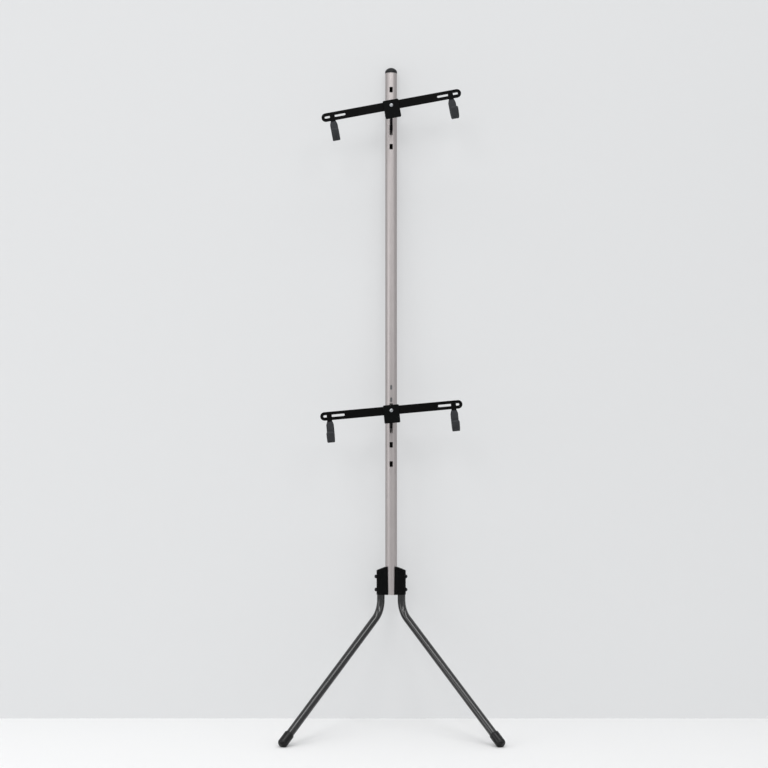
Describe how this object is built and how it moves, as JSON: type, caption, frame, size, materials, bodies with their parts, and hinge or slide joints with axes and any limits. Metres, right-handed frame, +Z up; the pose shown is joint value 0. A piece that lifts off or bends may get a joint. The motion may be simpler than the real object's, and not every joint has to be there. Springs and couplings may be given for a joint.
{
  "type": "bike stand",
  "caption": "Bike stand: a slotted pole that leans on a wall and stands on splayed bent legs, with tilting hooked-on arms whose padded J-hooks hold bicycles by the top tube.",
  "frame": {"origin": "on the floor, at the middle of the stand's footprint: halfway between the wall it leans on and the fronts of its boots, and midway between them", "axes": "+Z up, +Y towards the wall, -Y the side the bicycles hang on, +X to the right as seen from that side"},
  "size_m": [0.6844, 0.4661, 2.1205],
  "materials": {
    "pole_anodised": "satin silver anodised, drawn tube",
    "sleeve_alloy": "mill finish",
    "cap_rubber": "moulded, satin",
    "leg_paint": "gloss black powder coat on steel tube",
    "saddle_nylon": "moulded glass-filled nylon",
    "black_steel": "black zinc",
    "boot_rubber": "moulded, satin",
    "bracket_paint": "satin black powder coat on folded sheet steel",
    "bar_paint": "satin black powder coat on flat steel",
    "block_nylon": "moulded glass-filled nylon",
    "zinc_steel": "bright zinc",
    "disc_nylon": "natural nylon",
    "hook_paint": "satin black powder coat on steel strap",
    "pad_rubber": "moulded, fine ribs"
  },
  "bodies": {
    "frame": {"pole_lower": "pole_anodised", "pole_upper": "pole_anodised", "pole_sleeve": "sleeve_alloy", "top_cap": "cap_rubber", "leg_left": "leg_paint", "leg_right": "leg_paint", "leg_saddle_left": "saddle_nylon", "leg_saddle_right": "saddle_nylon", "leg_bolts": "black_steel", "leg_washers": "black_steel", "leg_nuts": "black_steel", "foot_left": "boot_rubber", "foot_right": "boot_rubber"},
    "upper_bracket": {"upper_arm_bracket": "bracket_paint", "upper_pivot_bolt": "zinc_steel", "upper_pivot_washer": "zinc_steel", "upper_pivot_nut": "zinc_steel", "upper_friction_disc": "disc_nylon"},
    "upper_cradle": {"upper_cradle_bar": "bar_paint", "upper_centre_block": "block_nylon"},
    "upper_left_hook": {"upper_left_hook_strap": "hook_paint", "upper_left_hook_pad": "pad_rubber", "upper_left_hook_washer": "zinc_steel", "upper_left_hook_nut": "zinc_steel"},
    "upper_right_hook": {"upper_right_hook_strap": "hook_paint", "upper_right_hook_pad": "pad_rubber", "upper_right_hook_washer": "zinc_steel", "upper_right_hook_nut": "zinc_steel"},
    "lower_bracket": {"lower_arm_bracket": "bracket_paint", "lower_pivot_bolt": "zinc_steel", "lower_pivot_washer": "zinc_steel", "lower_pivot_nut": "zinc_steel", "lower_friction_disc": "disc_nylon"},
    "lower_cradle": {"lower_cradle_bar": "bar_paint", "lower_centre_block": "block_nylon"},
    "lower_left_hook": {"lower_left_hook_strap": "hook_paint", "lower_left_hook_pad": "pad_rubber", "lower_left_hook_washer": "zinc_steel", "lower_left_hook_nut": "zinc_steel"},
    "lower_right_hook": {"lower_right_hook_strap": "hook_paint", "lower_right_hook_pad": "pad_rubber", "lower_right_hook_washer": "zinc_steel", "lower_right_hook_nut": "zinc_steel"}
  },
  "joints": [
    {"name": "upper_bracket_lift", "type": "slide", "parent": "frame", "child": "upper_bracket", "axis": [0, 0.0349, 0.9994], "range_m": [0, 0.008]},
    {"name": "upper_cradle_tilt", "type": "hinge", "parent": "upper_bracket", "child": "upper_cradle", "pos_m": [0, 0.05668, 1.97338], "axis": [0, -0.9994, 0.0349], "range_deg": [-35.55, 14.45]},
    {"name": "upper_left_hook_slide", "type": "slide", "parent": "upper_cradle", "child": "upper_left_hook", "axis": [-0.9831, -0.0064, -0.183], "range_m": [-0.039, 0.021]},
    {"name": "upper_right_hook_slide", "type": "slide", "parent": "upper_cradle", "child": "upper_right_hook", "axis": [0.9831, 0.0064, 0.183], "range_m": [-0.039, 0.021]},
    {"name": "lower_bracket_lift", "type": "slide", "parent": "frame", "child": "lower_bracket", "axis": [0, 0.0349, 0.9994], "range_m": [0, 0.008]},
    {"name": "lower_cradle_tilt", "type": "hinge", "parent": "lower_bracket", "child": "lower_cradle", "pos_m": [0, 0.02301, 1.00896], "axis": [0, -0.9994, 0.0349], "range_deg": [-30.2, 19.8]},
    {"name": "lower_left_hook_slide", "type": "slide", "parent": "lower_cradle", "child": "lower_left_hook", "axis": [-0.9959, -0.0032, -0.0906], "range_m": [-0.045, 0.015]},
    {"name": "lower_right_hook_slide", "type": "slide", "parent": "lower_cradle", "child": "lower_right_hook", "axis": [0.9959, 0.0032, 0.0906], "range_m": [-0.045, 0.015]}
  ]
}
